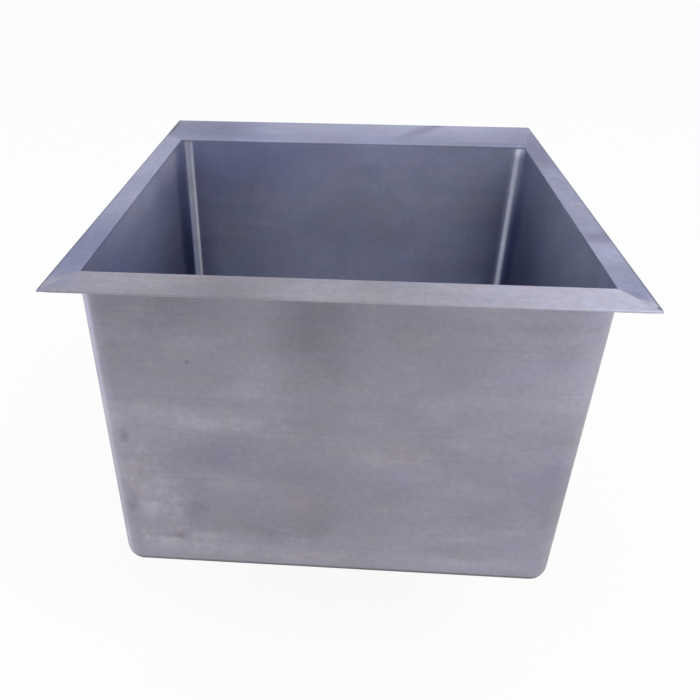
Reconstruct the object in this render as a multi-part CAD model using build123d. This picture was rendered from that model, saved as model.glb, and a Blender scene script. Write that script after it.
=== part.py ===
from build123d import *
import math
import os

# Drop-in sink: one deep stainless bowl, hand-fabricated, under a flat mitred rim.
# Millimetres. +X is right, -Y is the front and +Z is up.
# The origin is the centre of the rim's outline on the worktop, the plane that the seal rests on.

# Sheet and bowl
SHEET = 1.6  # thickness of the rim, the walls and the floor
BOWL_WIDTH = 457.0  # inside, left to right
BOWL_LENGTH = 406.0  # inside, front to back
BOWL_HEIGHT = 356.0  # top of the rim to the top of the floor
COVE_RADIUS = 19.0  # inside radius of every cove
FLOOR_LIP = 6.0  # straight edge of the floor pan above its cove

# Rim, measured outwards from the outside of the bowl's walls
RIM_SIDE = 17.5
RIM_FRONT = 31.0
RIM_REAR = 91.0
RIM_CORNER_COVER = 0.2  # by which the inner corners cover the outside of the bowl's round corners
REAR_LEFT_JOINT = 77.0  # where the rear-left joint meets the outer edge, from the rear edge
EDGE_BREAK = 0.4

# Seal between rim and worktop
SEAL_THICKNESS = 2.5
SEAL_WIDTH = 4.2
SEAL_INSET = 4.2

# Recess and hole in the floor
RECESS_RADIUS = 62.0
RECESS_DEPTH = 4.0
RECESS_SLOPE = 4.0  # run of its sloped side
DRAIN_HOLE_RADIUS = 44.5

# Strainer body
FLANGE_SEAL_THICKNESS = 1.0
FLANGE_RADIUS = 56.0
FLANGE_THICKNESS = 2.0
STRAINER_THREAD_RADIUS = 43.5
STRAINER_THREAD_LENGTH = 32.0  # below the top of the flange
STRAINER_WALL = 1.6  # wall at the throat, above the basket's seat
BASKET_SEAT_DROP = 7.0
BASKET_SEAT_WIDTH = 2.5
CUP_DEPTH = 36.0  # to where the conical bottom starts
CUP_BOTTOM_FALL = 5.0
CUP_BOTTOM_WALL = 2.5
OUTLET_RADIUS = 17.5
NECK_RADIUS = 23.9
NECK_LENGTH = 24.0
THREAD_GAP = 0.1

# Rings that clamp the strainer to the floor
GASKET_RADIUS = 54.0
GASKET_THICKNESS = 3.0
FRICTION_WASHER_THICKNESS = 1.0
LOCKNUT_RADIUS = 52.0
LOCKNUT_HEIGHT = 9.0
LOCKNUT_LUGS = 6
LOCKNUT_LUG_REACH = 5.0
LOCKNUT_LUG_WIDTH = 14.0

# Tailpiece and its nut
TAILPIECE_RADIUS = 19.05
TAILPIECE_WALL = 0.9
TAILPIECE_LENGTH = 100.0  # below its flange
TAILPIECE_FLANGE_RADIUS = 22.4
TAILPIECE_FLANGE_THICKNESS = 1.2
TAILPIECE_WASHER_THICKNESS = 2.0
COUPLING_ACROSS_FLATS = 56.0
COUPLING_GRIP = 12.0  # overlap with the neck
COUPLING_LIP = 3.0
COUPLING_BORE_GAP = 0.8
COUPLING_CHAMFER = 2.0

# Lift-out basket
BASKET_GAP = 0.5  # lip to the throat
BASKET_BODY_GAP = 1.0  # wall to the strainer's wall
BASKET_SHEET = 0.8
BASKET_LIP_THICKNESS = 1.0
BASKET_DEPTH = 20.8  # seat to the underside of its floor
BASKET_CORNER = 3.0
BASKET_HOLE_RADIUS = 2.2
FLOOR_HOLE_RINGS = ((14.0, 8), (22.0, 14), (30.0, 20))  # ring radius and count
WALL_HOLES = 18
WALL_HOLE_RADIUS = 2.8

# Stopper, post, sleeve and knob
STOPPER_LIFT = 7.0
STOPPER_RADIUS = 24.5
STOPPER_FOOT_RADIUS = 20.0
STOPPER_EDGE = 2.0
STOPPER_HEIGHT = 5.0
STOPPER_TOP_RADIUS = 15.0
SEAT_GAP = 0.3
POST_RADIUS = 3.0
POST_GAP = 0.3
SLEEVE_RADIUS = 5.0
SLEEVE_FLANGE_RADIUS = 8.0
SLEEVE_FLANGE_THICKNESS = 3.0
KNOB_RADIUS = 9.0
KNOB_HEIGHT = 8.0
KNOB_STEM_RADIUS = 5.0
KNOB_DROP = 4.0  # top of the knob below the top of the flange

# Clamps that pull the rim down on the worktop
STUD_RADIUS = 2.5
STUD_LENGTH = 70.0
STUD_BASE_RADIUS = 3.6
STUD_BASE_THICKNESS = 1.2
STUD_OFFSET = 5.0  # from the bowl's wall, or from the seal at the rear
SIDE_CLAMP_SPACING = 240.0
REAR_CLAMP_SPACING = 240.0
NUT_ACROSS_FLATS = 8.0
NUT_HEIGHT = 4.0
NUT_STAND = 2.0  # nut above the end of the stud
NUT_GAP = 0.05
WASHER_RADIUS = 4.5
WASHER_THICKNESS = 1.0
WASHER_GAP = 0.1
CLAW_REACH = 36.0
CLAW_WIDTH = 8.8
CLAW_THICKNESS = 2.5
CLAW_TOOTH = 5.0
CLAW_GAP = 0.1

# Levels
rim_bottom = SEAL_THICKNESS
rim_top = rim_bottom + SHEET
floor_top = rim_top - BOWL_HEIGHT
floor_bottom = floor_top - SHEET
floor_seam = floor_top + COVE_RADIUS + FLOOR_LIP
recess_floor = floor_top - RECESS_DEPTH
flange_top = recess_floor + FLANGE_SEAL_THICKNESS + FLANGE_THICKNESS
gasket_top = recess_floor - SHEET
cup_bottom = flange_top - CUP_DEPTH - CUP_BOTTOM_FALL
neck_top = cup_bottom - CUP_BOTTOM_WALL
neck_end = neck_top - NECK_LENGTH
tailpiece_top = neck_end - TAILPIECE_WASHER_THICKNESS
basket_seat = flange_top - BASKET_SEAT_DROP
basket_floor = basket_seat - BASKET_DEPTH
stud_end = rim_bottom - STUD_LENGTH
nut_bottom = stud_end + NUT_STAND
washer_bottom = nut_bottom + NUT_HEIGHT
claw_bottom = washer_bottom + WASHER_THICKNESS

# Outlines
wall_outer_width = BOWL_WIDTH + 2 * SHEET
wall_outer_length = BOWL_LENGTH + 2 * SHEET
rim_width = wall_outer_width + 2 * RIM_SIDE
rim_length = wall_outer_length + RIM_FRONT + RIM_REAR
bowl_y = -rim_length / 2 + RIM_FRONT + wall_outer_length / 2
# The rim's inner edge stands this far past the inside of the walls.
rim_overhang = (COVE_RADIUS + SHEET) * (1 - math.sqrt(0.5)) - SHEET + RIM_CORNER_COVER
throat_radius = STRAINER_THREAD_RADIUS - STRAINER_WALL
cup_radius = throat_radius - BASKET_SEAT_WIDTH
basket_radius = cup_radius - BASKET_BODY_GAP


def plate(points, bottom, thickness):
    """A flat plate with the given outline."""
    return extrude(Plane.XY.offset(bottom) * make_face(Polyline(*points, close=True)), thickness)


def turned(profile, x=0.0, y=0.0):
    """A solid turned about a vertical axis, from points of radius and height."""
    face = make_face(Polyline(*[(r, 0, z) for r, z in profile], close=True))
    return Pos(x, y, 0) * revolve(face, Axis.Z)


def washer(outer, inner, bottom, thickness, x=0.0, y=0.0):
    """A flat ring."""
    return turned(
        [(inner, bottom), (outer, bottom), (outer, bottom + thickness), (inner, bottom + thickness)], x, y
    )


def slab(width, length, radius, bottom, height, y=0.0):
    """An upright block with round corners."""
    return Pos(0, y, bottom) * extrude(RectangleRounded(width, length, radius), height)


def break_edges(solid, *axes):
    """Rounds the top edges that run along the given axes."""
    top = solid.edges().group_by(Axis.Z)[-1]
    size = min(EDGE_BREAK, SHEET / 3)
    return fillet([e for axis in axes for e in top.filter_by(axis)], size)


def rim_strips():
    """Four flat strips, joined at the corners."""
    right, back = rim_width / 2, rim_length / 2
    inner_x = BOWL_WIDTH / 2 - rim_overhang
    reach_y = BOWL_LENGTH / 2 - rim_overhang
    inner_front, inner_back = bowl_y - reach_y, bowl_y + reach_y
    joint_y = back - REAR_LEFT_JOINT
    outlines = {
        "rim_front": [(-right, -back), (right, -back), (inner_x, inner_front), (-inner_x, inner_front)],
        "rim_right": [(right, -back), (right, back), (inner_x, inner_back), (inner_x, inner_front)],
        "rim_rear": [(right, back), (-right, back), (-right, joint_y), (-inner_x, inner_back), (inner_x, inner_back)],
        "rim_left": [(-right, joint_y), (-right, -back), (-inner_x, inner_front), (-inner_x, inner_back)],
    }
    edge_axes = {
        "rim_front": [Axis.X],
        "rim_right": [Axis.Y],
        "rim_rear": [Axis.X, Axis.Y],
        "rim_left": [Axis.Y],
    }
    return {
        name: break_edges(plate(points, rim_bottom, SHEET), *edge_axes[name]) for name, points in outlines.items()
    }


def bowl_walls():
    """One sheet bent round four coved corners, from the floor pan to the rim."""
    height = rim_bottom - floor_seam
    outer = slab(wall_outer_width, wall_outer_length, COVE_RADIUS + SHEET, floor_seam, height, bowl_y)
    inner = slab(BOWL_WIDTH, BOWL_LENGTH, COVE_RADIUS, floor_seam, height, bowl_y)
    return outer - inner


def coved_block(width, length, radius, bottom):
    """A block up to the floor's seam with round upright edges, round bottom edges and ball corners."""
    height = floor_seam - bottom
    block = Pos(0, bowl_y, bottom + height / 2) * Box(width, length, height)
    upright = block.edges().filter_by(Axis.Z)
    lower = block.edges().group_by(Axis.Z)[0]
    return fillet(list(upright) + list(lower), radius)


def bowl_floor():
    """The floor pan, with coved edges, a stamped recess and the drain hole."""
    run = RECESS_SLOPE
    outer = coved_block(wall_outer_width, wall_outer_length, COVE_RADIUS + SHEET, floor_bottom)
    stamped = [
        (0, floor_bottom),
        (RECESS_RADIUS + SHEET, floor_bottom),
        (RECESS_RADIUS + SHEET - run, floor_bottom - RECESS_DEPTH),
        (0, floor_bottom - RECESS_DEPTH),
    ]
    hollow = [
        (0, floor_top),
        (RECESS_RADIUS, floor_top),
        (RECESS_RADIUS - run, recess_floor),
        (0, recess_floor),
    ]
    inner = coved_block(BOWL_WIDTH, BOWL_LENGTH, COVE_RADIUS, floor_top)
    pan = outer + turned(stamped, y=bowl_y) - inner - turned(hollow, y=bowl_y)
    hole = Pos(0, bowl_y, recess_floor - SHEET / 2) * Cylinder(DRAIN_HOLE_RADIUS, 4 * SHEET)
    return pan - hole


def rim_seal():
    """The tape under the rim, set in from its outer edge."""
    outer_width = rim_width - 2 * SEAL_INSET
    outer_length = rim_length - 2 * SEAL_INSET
    outer = Rectangle(outer_width, outer_length)
    inner = Rectangle(outer_width - 2 * SEAL_WIDTH, outer_length - 2 * SEAL_WIDTH)
    return extrude(outer - inner, SEAL_THICKNESS)


def strainer_profile():
    """The strainer's section, from its throat round the cup to the flange."""
    top, drop = flange_top, BASKET_SEAT_DROP
    thread_end = top - STRAINER_THREAD_LENGTH
    shoulder = STRAINER_THREAD_RADIUS - STRAINER_WALL
    edge = FLANGE_THICKNESS / 2
    return [
        (throat_radius + edge, top),
        (throat_radius, top - edge),
        (throat_radius, top - drop),
        (cup_radius, top - drop),
        (cup_radius, top - CUP_DEPTH),
        (OUTLET_RADIUS, cup_bottom),
        (OUTLET_RADIUS, neck_top),
        (NECK_RADIUS, neck_top),
        (shoulder, top - CUP_DEPTH - CUP_BOTTOM_WALL),
        (shoulder, thread_end - STRAINER_WALL),
        (STRAINER_THREAD_RADIUS, thread_end),
        (STRAINER_THREAD_RADIUS, top - FLANGE_THICKNESS),
        (FLANGE_RADIUS, top - FLANGE_THICKNESS),
        (FLANGE_RADIUS, top - edge),
        (FLANGE_RADIUS - edge, top),
    ]


def hexagon_prism(across_flats, bottom, height, chamfer_size):
    """A hexagonal bar with its corners turned down at both ends."""
    bar = Pos(0, 0, bottom) * extrude(RegularPolygon(across_flats / 2, 6, major_radius=False), height)
    corner = across_flats / math.sqrt(3)
    fall = chamfer_size * 0.6
    turned_down = turned(
        [
            (0, bottom),
            (corner - chamfer_size, bottom),
            (corner, bottom + fall),
            (corner, bottom + height - fall),
            (corner - chamfer_size, bottom + height),
            (0, bottom + height),
        ]
    )
    return bar & turned_down


def drain_locknut():
    """The large ring nut, with lugs to turn it by."""
    bottom = gasket_top - GASKET_THICKNESS - FRICTION_WASHER_THICKNESS - LOCKNUT_HEIGHT
    nut = washer(LOCKNUT_RADIUS, STRAINER_THREAD_RADIUS + THREAD_GAP, bottom, LOCKNUT_HEIGHT, y=bowl_y)
    lug_length = LOCKNUT_LUG_REACH + (LOCKNUT_RADIUS - STRAINER_THREAD_RADIUS) / 2
    lug = Pos(LOCKNUT_RADIUS + LOCKNUT_LUG_REACH - lug_length / 2, 0, bottom + LOCKNUT_HEIGHT / 2) * Box(
        lug_length, LOCKNUT_LUG_WIDTH, LOCKNUT_HEIGHT
    )
    lug = fillet(lug.edges().filter_by(Axis.Z).group_by(Axis.X)[-1], LOCKNUT_LUG_WIDTH / 5)
    for i in range(LOCKNUT_LUGS):
        nut += Pos(0, bowl_y, 0) * Rot(0, 0, 360 / LOCKNUT_LUGS * i) * lug
    return nut


def coupling_nut():
    """The nut that draws the tailpiece up to the neck."""
    lip_bottom = tailpiece_top - TAILPIECE_FLANGE_THICKNESS - COUPLING_LIP
    height = neck_end + COUPLING_GRIP - lip_bottom
    bar = hexagon_prism(COUPLING_ACROSS_FLATS, lip_bottom, height, COUPLING_CHAMFER)
    bore = [
        (0, lip_bottom),
        (TAILPIECE_RADIUS + COUPLING_BORE_GAP, lip_bottom),
        (TAILPIECE_RADIUS + COUPLING_BORE_GAP, lip_bottom + COUPLING_LIP),
        (NECK_RADIUS + THREAD_GAP, lip_bottom + COUPLING_LIP),
        (NECK_RADIUS + THREAD_GAP, lip_bottom + height),
        (0, lip_bottom + height),
    ]
    return Pos(0, bowl_y, 0) * (bar - turned(bore))


def tailpiece():
    """A flanged tube."""
    bottom = tailpiece_top - TAILPIECE_FLANGE_THICKNESS - TAILPIECE_LENGTH
    bore = TAILPIECE_RADIUS - TAILPIECE_WALL
    flange_under = tailpiece_top - TAILPIECE_FLANGE_THICKNESS
    profile = [
        (bore, bottom),
        (TAILPIECE_RADIUS, bottom),
        (TAILPIECE_RADIUS, flange_under),
        (TAILPIECE_FLANGE_RADIUS, flange_under),
        (TAILPIECE_FLANGE_RADIUS, tailpiece_top),
        (bore, tailpiece_top),
    ]
    return turned(profile, y=bowl_y)


def ring_of(item, count, radius):
    """Copies of an item round the drain's axis."""
    return [Rot(0, 0, 360 / count * i) * Pos(radius, 0, 0) * item for i in range(count)]


def basket_cup():
    """The perforated cup, hung by its lip on the strainer's seat."""
    inside = basket_radius - BASKET_SHEET
    lip_top = basket_seat + BASKET_LIP_THICKNESS
    corner = BASKET_CORNER
    cup = turned(
        [
            (0, basket_floor),
            (basket_radius - corner, basket_floor),
            (basket_radius, basket_floor + corner),
            (basket_radius, basket_seat),
            (throat_radius - BASKET_GAP, basket_seat),
            (throat_radius - BASKET_GAP, lip_top),
            (inside, lip_top),
            (inside, basket_floor + corner + BASKET_SHEET / 2),
            (inside - corner + BASKET_SHEET / 2, basket_floor + BASKET_SHEET),
            (0, basket_floor + BASKET_SHEET),
        ]
    )
    through = Pos(0, 0, basket_floor) * Cylinder(BASKET_HOLE_RADIUS, 4 * BASKET_SHEET)
    cuts = [Pos(0, 0, basket_floor) * Cylinder(SLEEVE_RADIUS, 4 * BASKET_SHEET)]
    for radius, count in FLOOR_HOLE_RINGS:
        cuts += ring_of(through, count, radius)
    side = Pos(0, 0, (basket_floor + corner + basket_seat) / 2) * Rot(0, 90, 0)
    side = side * Cylinder(WALL_HOLE_RADIUS, 4 * BASKET_SHEET)
    cuts += ring_of(side, WALL_HOLES, basket_radius - BASKET_SHEET / 2)
    return Pos(0, bowl_y, 0) * (cup - cuts)


def stopper_foot():
    """Height of the stopper's foot, just clear of the conical seat."""
    slope = CUP_BOTTOM_FALL / (cup_radius - OUTLET_RADIUS)
    return cup_bottom + (STOPPER_FOOT_RADIUS - OUTLET_RADIUS) * slope + SEAT_GAP


def basket_stopper():
    """The rubber stopper, parallel to its seat."""
    slope = CUP_BOTTOM_FALL / (cup_radius - OUTLET_RADIUS)
    foot = stopper_foot()
    rise = (STOPPER_RADIUS - STOPPER_FOOT_RADIUS) * slope
    profile = [
        (0, foot),
        (STOPPER_FOOT_RADIUS, foot),
        (STOPPER_RADIUS, foot + rise),
        (STOPPER_RADIUS, foot + rise + STOPPER_EDGE),
        (STOPPER_TOP_RADIUS, foot + STOPPER_HEIGHT),
        (0, foot + STOPPER_HEIGHT),
    ]
    return turned(profile, y=bowl_y)


def basket_post():
    """The rod between stopper and knob."""
    bottom = stopper_foot() + STOPPER_HEIGHT
    top = flange_top - KNOB_DROP - KNOB_HEIGHT
    return Pos(0, bowl_y, (bottom + top) / 2) * Cylinder(POST_RADIUS, top - bottom)


def post_sleeve():
    """The bush in the basket's floor that guides the post."""
    seat = basket_floor + BASKET_SHEET
    profile = [
        (POST_RADIUS + POST_GAP, basket_floor),
        (SLEEVE_RADIUS, basket_floor),
        (SLEEVE_RADIUS, seat),
        (SLEEVE_FLANGE_RADIUS, seat),
        (SLEEVE_FLANGE_RADIUS, seat + SLEEVE_FLANGE_THICKNESS / 2),
        (SLEEVE_RADIUS, seat + SLEEVE_FLANGE_THICKNESS),
        (POST_RADIUS + POST_GAP, seat + SLEEVE_FLANGE_THICKNESS),
    ]
    return turned(profile, y=bowl_y)


def basket_knob():
    """A waisted knob to lift the basket by."""
    top = flange_top - KNOB_DROP
    bottom = top - KNOB_HEIGHT
    crown = KNOB_HEIGHT / 4
    profile = [
        (0, bottom),
        (KNOB_STEM_RADIUS, bottom),
        (KNOB_STEM_RADIUS, bottom + KNOB_HEIGHT / 3),
        (KNOB_RADIUS, bottom + KNOB_HEIGHT / 2),
        (KNOB_RADIUS, top - crown),
        (KNOB_RADIUS - crown, top),
        (0, top),
    ]
    return turned(profile, y=bowl_y)


def clamp_places():
    """Each clamp's place, and the way its claw is parked, in degrees from +X."""
    side_x = wall_outer_width / 2 + STUD_OFFSET
    rear_y = rim_length / 2 - SEAL_INSET - SEAL_WIDTH - STUD_OFFSET
    half_side, half_rear = SIDE_CLAMP_SPACING / 2, REAR_CLAMP_SPACING / 2
    return [
        (-side_x, bowl_y - half_side, 90),
        (-side_x, bowl_y + half_side, -90),
        (side_x, bowl_y - half_side, 90),
        (side_x, bowl_y + half_side, -90),
        (-half_rear, rear_y, 0),
        (half_rear, rear_y, 180),
    ]


def clamp_stud():
    """A threaded stud welded to the underside of the rim."""
    tip = STUD_RADIUS / 4
    base = rim_bottom - STUD_BASE_THICKNESS
    return turned(
        [
            (0, stud_end),
            (STUD_RADIUS - tip, stud_end),
            (STUD_RADIUS, stud_end + tip),
            (STUD_RADIUS, base),
            (STUD_BASE_RADIUS, base),
            (STUD_BASE_RADIUS, rim_bottom),
            (0, rim_bottom),
        ]
    )


def clamp_nut():
    """A hexagon nut on the stud."""
    bore = Pos(0, 0, nut_bottom + NUT_HEIGHT / 2) * Cylinder(STUD_RADIUS + NUT_GAP, 2 * NUT_HEIGHT)
    return hexagon_prism(NUT_ACROSS_FLATS, nut_bottom, NUT_HEIGHT, NUT_HEIGHT / 8) - bore


def clamp_claw():
    """A strip with a round end at the stud and an upturned toothed end, pointing along +X."""
    half = CLAW_WIDTH / 2
    strip = extrude(Rectangle(CLAW_REACH, CLAW_WIDTH, align=(Align.MIN, Align.CENTER)), CLAW_THICKNESS)
    strip += extrude(Circle(half), CLAW_THICKNESS)
    tooth = Pos(CLAW_REACH, 0, 0) * Box(
        CLAW_THICKNESS, CLAW_WIDTH, CLAW_THICKNESS + CLAW_TOOTH, align=(Align.MAX, Align.CENTER, Align.MIN)
    )
    notch = Pos(CLAW_REACH, 0, CLAW_THICKNESS + CLAW_TOOTH) * Rot(45, 0, 0) * Box(3 * CLAW_THICKNESS, half, half)
    claw = strip + tooth - notch - Cylinder(STUD_RADIUS + CLAW_GAP, 4 * CLAW_THICKNESS)
    return Pos(0, 0, claw_bottom) * claw


def clamps():
    """All studs as one node, and a claw, a washer and a nut for each."""
    places = clamp_places()
    nodes = {"clamp_studs": Compound(children=[Pos(x, y, 0) * clamp_stud() for x, y, _ in places])}
    for number, (x, y, parked) in enumerate(places, start=1):
        nodes[f"clamp_claw_{number}"] = Pos(x, y, 0) * Rot(0, 0, parked) * clamp_claw()
        nodes[f"clamp_washer_{number}"] = washer(
            WASHER_RADIUS, STUD_RADIUS + WASHER_GAP, washer_bottom, WASHER_THICKNESS, x, y
        )
        nodes[f"clamp_nut_{number}"] = Pos(x, y, 0) * clamp_nut()
    return nodes


def drain():
    """Strainer, rings, nut and tailpiece."""
    ring_bore = STRAINER_THREAD_RADIUS + 3 * THREAD_GAP
    gasket_bottom = gasket_top - GASKET_THICKNESS
    friction_bottom = gasket_bottom - FRICTION_WASHER_THICKNESS
    return {
        "flange_seal": washer(GASKET_RADIUS, DRAIN_HOLE_RADIUS, recess_floor, FLANGE_SEAL_THICKNESS, y=bowl_y),
        "strainer_body": turned(strainer_profile(), y=bowl_y),
        "outlet_spud": washer(NECK_RADIUS, OUTLET_RADIUS, neck_end, NECK_LENGTH, y=bowl_y),
        "drain_gasket": washer(GASKET_RADIUS, ring_bore, gasket_bottom, GASKET_THICKNESS, y=bowl_y),
        "friction_washer": washer(GASKET_RADIUS, ring_bore, friction_bottom, FRICTION_WASHER_THICKNESS, y=bowl_y),
        "drain_locknut": drain_locknut(),
        "tailpiece_washer": washer(
            TAILPIECE_FLANGE_RADIUS, OUTLET_RADIUS, tailpiece_top, TAILPIECE_WASHER_THICKNESS, y=bowl_y
        ),
        "tailpiece": tailpiece(),
        "coupling_nut": coupling_nut(),
    }


def basket():
    """The lift-out basket and its stopper."""
    return {
        "basket_cup": basket_cup(),
        "post_sleeve": post_sleeve(),
        "basket_post": basket_post(),
        "basket_knob": basket_knob(),
        "basket_stopper": basket_stopper(),
    }


def main():
    """Builds every node and writes it."""
    nodes = {
        **rim_strips(),
        "bowl_walls": bowl_walls(),
        "bowl_floor": bowl_floor(),
        "rim_seal": rim_seal(),
        **drain(),
        **basket(),
        **clamps(),
    }
    os.makedirs("parts", exist_ok=True)
    for name, shape in nodes.items():
        export_step(shape, f"parts/{name}.step")


main()
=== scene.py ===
"""Looks of a deep, single-bowl drop-in sink in brushed stainless sheet.

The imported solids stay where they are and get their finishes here. Threads, a weld bead and ground seams are
added as meshes, and a plain studio with the photograph's viewing angle is set round them. Lengths are in
metres, except where a docstring says millimetres.
"""

import logging
import math
from collections.abc import Callable, Mapping, Sequence
from dataclasses import dataclass, field
from enum import Enum
from functools import lru_cache

import bpy
from mathutils import Matrix, Vector


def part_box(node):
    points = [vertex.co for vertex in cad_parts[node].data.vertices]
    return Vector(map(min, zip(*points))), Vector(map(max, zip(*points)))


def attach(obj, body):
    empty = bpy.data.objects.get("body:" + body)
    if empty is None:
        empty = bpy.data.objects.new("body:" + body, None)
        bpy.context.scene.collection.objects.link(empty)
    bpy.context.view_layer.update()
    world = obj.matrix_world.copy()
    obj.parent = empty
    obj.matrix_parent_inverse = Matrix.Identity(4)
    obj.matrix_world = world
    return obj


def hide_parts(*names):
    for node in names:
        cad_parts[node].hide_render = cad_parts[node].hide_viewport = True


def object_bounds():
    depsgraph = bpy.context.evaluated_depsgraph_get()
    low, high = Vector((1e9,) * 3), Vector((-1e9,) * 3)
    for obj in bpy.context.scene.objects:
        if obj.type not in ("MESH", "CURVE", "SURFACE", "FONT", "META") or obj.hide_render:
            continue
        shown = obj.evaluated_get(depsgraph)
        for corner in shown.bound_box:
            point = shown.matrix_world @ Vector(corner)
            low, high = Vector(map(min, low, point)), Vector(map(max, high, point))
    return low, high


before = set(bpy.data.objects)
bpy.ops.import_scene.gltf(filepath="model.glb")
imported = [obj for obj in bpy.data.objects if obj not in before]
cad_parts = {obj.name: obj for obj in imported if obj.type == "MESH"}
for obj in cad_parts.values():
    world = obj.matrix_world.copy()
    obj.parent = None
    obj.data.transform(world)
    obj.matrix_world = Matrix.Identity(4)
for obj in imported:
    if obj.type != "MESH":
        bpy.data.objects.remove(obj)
cad_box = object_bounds()

log = logging.getLogger("sink")

Piece = bpy.types.Object
Node = bpy.types.Node
NodeTree = bpy.types.NodeTree
Output = bpy.types.NodeSocket
Outputs = Mapping[str, Output]
Colour = tuple[float, float, float]
Gain = float | Colour
Point = tuple[float, float, float]
Section = tuple[float, float]
Feed = float | Sequence[float] | Output
Made = dict[str, Feed]
Inputs = Mapping[str | int, Feed]

MM = 0.001
SINK = "sink"
ORIGIN = (0.0, 0.0, 0.0)
WHITE = (1.0, 1.0, 1.0)
RIM_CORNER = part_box("rim_rear")[1]
BOWL_LOW, BOWL_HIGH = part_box("bowl_walls")
# How far a patch reaches through the rim, the rear wall and the other walls
RIM_THROUGH, REAR_THROUGH, WALL_THROUGH = 200 * MM, 30 * MM, 20 * MM
# The colour sockets of a Mix node
MIX_FIRST, MIX_SECOND, MIX_RESULT = 6, 7, 2
# How much of the brushed grain is fine lines
FINE_SHARE = 0.65
# How much finer the hue's smudges are than the tone's, and how far they and the grain's are moved aside
HUE_FINENESS, HUE_SHIFT, DEPTH_SHIFT = 2.6, (0.37, 0.21, 0.53), (0.71, 0.43, 0.12)


# Node trees


class Tree:
    """Adds nodes to one node tree and links them. Most methods return the new node's output."""

    def __init__(self, tree: NodeTree) -> None:
        """Takes the tree that the nodes go into."""
        self.tree = tree

    def add(self, kind: str, inputs: Inputs | None = None, **settings: object) -> Node:
        """Adds a node.

        Args:
            kind: its type, without the ShaderNode that it begins with.
            inputs: what goes into its sockets.
            settings: its own properties.

        Returns:
            The new node.
        """
        node = self.tree.nodes.new("ShaderNode" + kind)
        for name, value in settings.items():
            setattr(node, name, value)
        self.feed(node, inputs or {})
        return node

    def feed(self, node: Node, inputs: Inputs) -> None:
        """Links a node's sockets to outputs, or sets their own values.

        Args:
            node: the node.
            inputs: an output, a number or a vector for each socket. A number makes a colour's socket grey.
        """
        for name, value in inputs.items():
            socket = node.inputs[name]
            if isinstance(value, Output):
                self.tree.links.new(value, socket)
            elif socket.type == "RGBA":
                colour = value if isinstance(value, tuple) else (value, value, value)
                socket.default_value = (*colour, 1.0)
            else:
                socket.default_value = value

    def group(self, group: NodeTree, inputs: Inputs) -> Outputs:
        """Adds a node group and returns its outputs."""
        return self.add("Group", inputs, node_tree=group).outputs

    def math(self, operation: str, first: Feed, second: Feed = 0.0, clamp: bool = False) -> Output:
        """Adds a math node."""
        return self.add("Math", {0: first, 1: second}, operation=operation, use_clamp=clamp).outputs[0]

    def vector(self, operation: str, first: Feed, second: Feed = ORIGIN) -> Output:
        """Adds a vector math node, which puts out a number for a length or a dot product."""
        output = "Value" if operation in ("LENGTH", "DOT_PRODUCT") else "Vector"
        return self.add("VectorMath", {0: first, 1: second}, operation=operation).outputs[output]

    def along(self, vector: Feed, axis: int) -> Output:
        """Takes one part of a vector, from 0 for X to 2 for Z."""
        return self.add("SeparateXYZ", {0: vector}).outputs[axis]

    def normal(self, kind: str = "Normal") -> Output:
        """Adds the way that the surface faces."""
        return self.add("NewGeometry").outputs[kind]

    def ease(self, value: Feed, low: float, high: float, start: float = 0.0, end: float = 1.0) -> Output:
        """Maps low..high smoothly to start..end."""
        inputs = {"Value": value, "From Min": low, "From Max": high, "To Min": start, "To Max": end}
        return self.add("MapRange", inputs, interpolation_type="SMOOTHSTEP").outputs[0]

    def mix(self, factor: Feed, first: Feed, second: Feed, blend: str = "MIX") -> Output:
        """Mixes two colours."""
        inputs = {0: factor, MIX_FIRST: first, MIX_SECOND: second}
        return self.add("Mix", inputs, data_type="RGBA", blend_type=blend).outputs[MIX_RESULT]

    def multiply(self, factor: Feed, colour: Feed, gain: Feed) -> Output:
        """Multiplies a colour by a gain where the factor is 1."""
        return self.mix(factor, colour, gain, "MULTIPLY")

    def sway(self, mask: Feed, amount: float) -> Output:
        """Makes a grey that goes from 1 - amount to 1 + amount with the mask."""
        return self.mix(mask, 1.0 - amount, 1.0 + amount)

    def noise(self, vector: Feed, scale: Feed, detail: float = 3.0, roughness: float = 0.55) -> Output:
        """Adds a noise texture and returns its value, 0 to 1."""
        inputs = {"Vector": vector, "Scale": scale, "Detail": detail, "Roughness": roughness}
        return self.add("TexNoise", inputs).outputs[0]

    def bump(self, strength: float, distance: float, height: Output) -> Output:
        """Makes a normal from a height."""
        return self.add("Bump", {"Strength": strength, "Distance": distance, "Height": height}).outputs[0]


def effect(name: str, **defaults: float | Point) -> Callable[[Callable], Callable[[], NodeTree]]:
    """Turns a function that wires nodes into one that returns them as a shader node group, built once.

    Args:
        name: the group's name.
        defaults: its inputs, each a number or a vector.

    Returns:
        A decorator for a function that takes the group's tree and inputs and returns its outputs by name.
    """

    def decorate(wire: Callable[[Tree, Outputs], Made]) -> Callable[[], NodeTree]:
        """Makes the group's builder.

        Args:
            wire: the function that wires the group's nodes.

        Returns:
            The builder.
        """

        @lru_cache
        def build() -> NodeTree:
            """Builds the group.

            Returns:
                The group.
            """
            group = bpy.data.node_groups.new(name, "ShaderNodeTree")
            for key, default in defaults.items():
                kind = "NodeSocketFloat" if isinstance(default, float) else "NodeSocketVector"
                group.interface.new_socket(key, in_out="INPUT", socket_type=kind).default_value = default
            tree = Tree(group)
            made = wire(tree, group.nodes.new("NodeGroupInput").outputs)
            for key in made:
                group.interface.new_socket(key, in_out="OUTPUT", socket_type="NodeSocketFloat")
            tree.feed(group.nodes.new("NodeGroupOutput"), made)
            return group

        return build

    return decorate


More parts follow.
